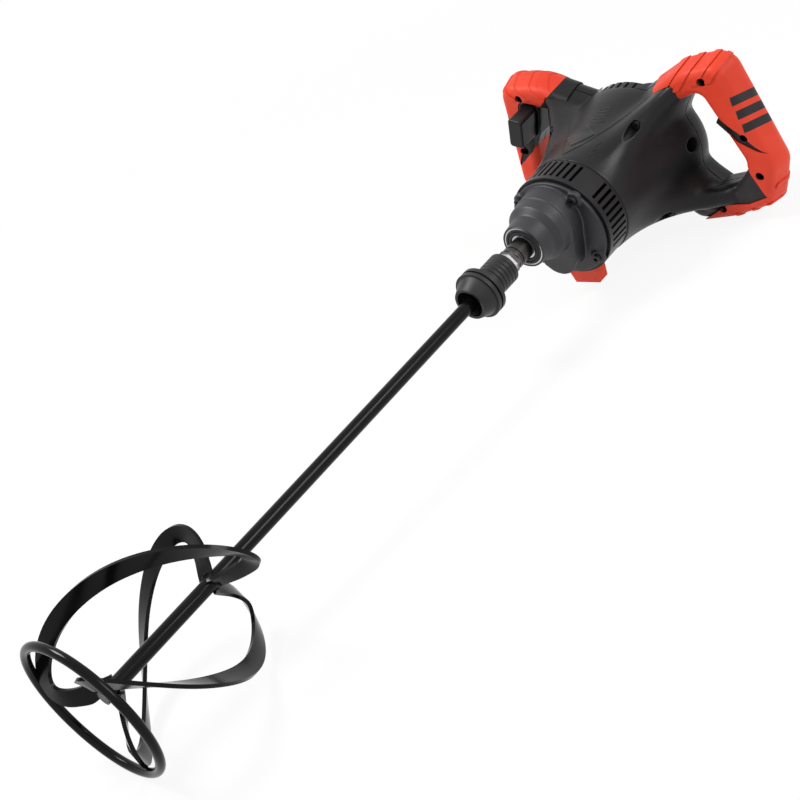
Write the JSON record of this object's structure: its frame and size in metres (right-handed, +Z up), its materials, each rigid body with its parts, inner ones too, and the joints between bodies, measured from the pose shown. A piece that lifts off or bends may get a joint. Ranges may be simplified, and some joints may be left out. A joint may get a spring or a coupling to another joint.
{
  "type": "mixing drill",
  "caption": "Two-handed electric mixing drill with D-handles, quick-release coupling and a helical paddle, lying on its side",
  "frame": {"origin": "middle of the bounding box in plan, at the level of the floor it lies on", "axes": "+X to the right handle, +Y along the machine from the paddle to the motor, +Z up"},
  "size_m": [0.3234, 0.8458, 0.1804],
  "materials": {
    "painted_steel_black": "gloss black paint",
    "blackened_steel": "satin blackened steel",
    "bright_steel": "bright machined steel",
    "lamination_steel": "varnished laminations",
    "bronze": "sintered bronze and brass",
    "copper": "copper",
    "carbon": "dull carbon",
    "seal_rubber": "matte rubber",
    "cast_gearbox_grey": "fine-textured dark grey paint on cast metal",
    "body_plastic_black": "satin black moulded plastic",
    "grip_rubber_red": "matte red soft grip",
    "stripe_rubber_grey": "matte dark grey rubber"
  },
  "bodies": {
    "body": {"arm_inserts": "stripe_rubber_grey", "brush_caps": "body_plastic_black", "brush_holders": "bronze", "brush_springs": "bright_steel", "brushes": "carbon", "cable_inlet": "seal_rubber", "field_coils": "copper", "foot": "grip_rubber_red", "front_bearing_balls": "bright_steel", "front_bearing_outer": "bright_steel", "front_bearing_seal": "seal_rubber", "gearbox_housing": "cast_gearbox_grey", "gearbox_plate": "cast_gearbox_grey", "gearbox_screws": "blackened_steel", "grip_back_left": "grip_rubber_red", "grip_back_right": "grip_rubber_red", "grip_front_left": "grip_rubber_red", "grip_front_right": "grip_rubber_red", "handle_back_left": "body_plastic_black", "handle_back_right": "body_plastic_black", "handle_front_left": "body_plastic_black", "handle_front_right": "body_plastic_black", "handle_screws": "blackened_steel", "housing_front": "body_plastic_black", "intermediate_bushes": "bronze", "motor_cap": "body_plastic_black", "motor_front_bearing": "bright_steel", "motor_housing": "body_plastic_black", "motor_rear_bearing": "bright_steel", "ridge_screws": "blackened_steel", "spindle_bush": "bronze", "stator_core": "lamination_steel", "stripe_inlays": "stripe_rubber_grey", "switch": "body_plastic_black", "trigger_spring": "bright_steel"},
    "spindle": {"paddle_shaft": "painted_steel_black", "paddle_ring": "painted_steel_black", "paddle_blade_1": "painted_steel_black", "paddle_blade_2": "painted_steel_black", "paddle_blade_3": "painted_steel_black", "coupling_body": "bright_steel", "coupling_circlip": "bright_steel", "coupling_spring": "bright_steel", "locking_balls": "bright_steel", "output_spindle": "bright_steel", "output_gear": "bright_steel", "front_bearing_inner": "bright_steel"},
    "sleeve": {"coupling_sleeve": "blackened_steel"},
    "intermediate": {"intermediate_shaft": "bright_steel", "intermediate_gear": "bright_steel"},
    "rotor": {"rotor_shaft": "bright_steel", "rotor_core": "lamination_steel", "rotor_winding": "copper", "commutator": "copper", "fan": "body_plastic_black"},
    "trigger": {"trigger": "body_plastic_black"}
  },
  "joints": [
    {"name": "spindle_spin", "type": "hinge", "parent": "body", "child": "spindle", "pos_m": [0, 0.17985, 0.09709], "axis": [0, 0.999, 0.0438], "continuous": true},
    {"name": "intermediate_spin", "type": "hinge", "parent": "body", "child": "intermediate", "pos_m": [0, 0.23237, 0.06336], "axis": [0, 0.999, 0.0438], "continuous": true},
    {"name": "rotor_spin", "type": "hinge", "parent": "body", "child": "rotor", "pos_m": [0, 0.27546, 0.08527], "axis": [0, 0.999, 0.0438], "continuous": true},
    {"name": "sleeve_slide", "type": "slide", "parent": "spindle", "child": "sleeve", "axis": [0, 0.999, 0.0438], "range_m": [0, 0.008], "stiffness_N_per_m": 1500, "deforming": ["coupling_spring"]},
    {"name": "trigger_pull", "type": "slide", "parent": "body", "child": "trigger", "axis": [0, 0.999, 0.0438], "range_m": [0, 0.007], "stiffness_N_per_m": 1200, "deforming": ["trigger_spring"]}
  ],
  "couplings": [
    {"joint": "intermediate_spin", "follows": "spindle_spin", "ratio": -3.8},
    {"joint": "rotor_spin", "follows": "spindle_spin", "ratio": 15.2}
  ]
}
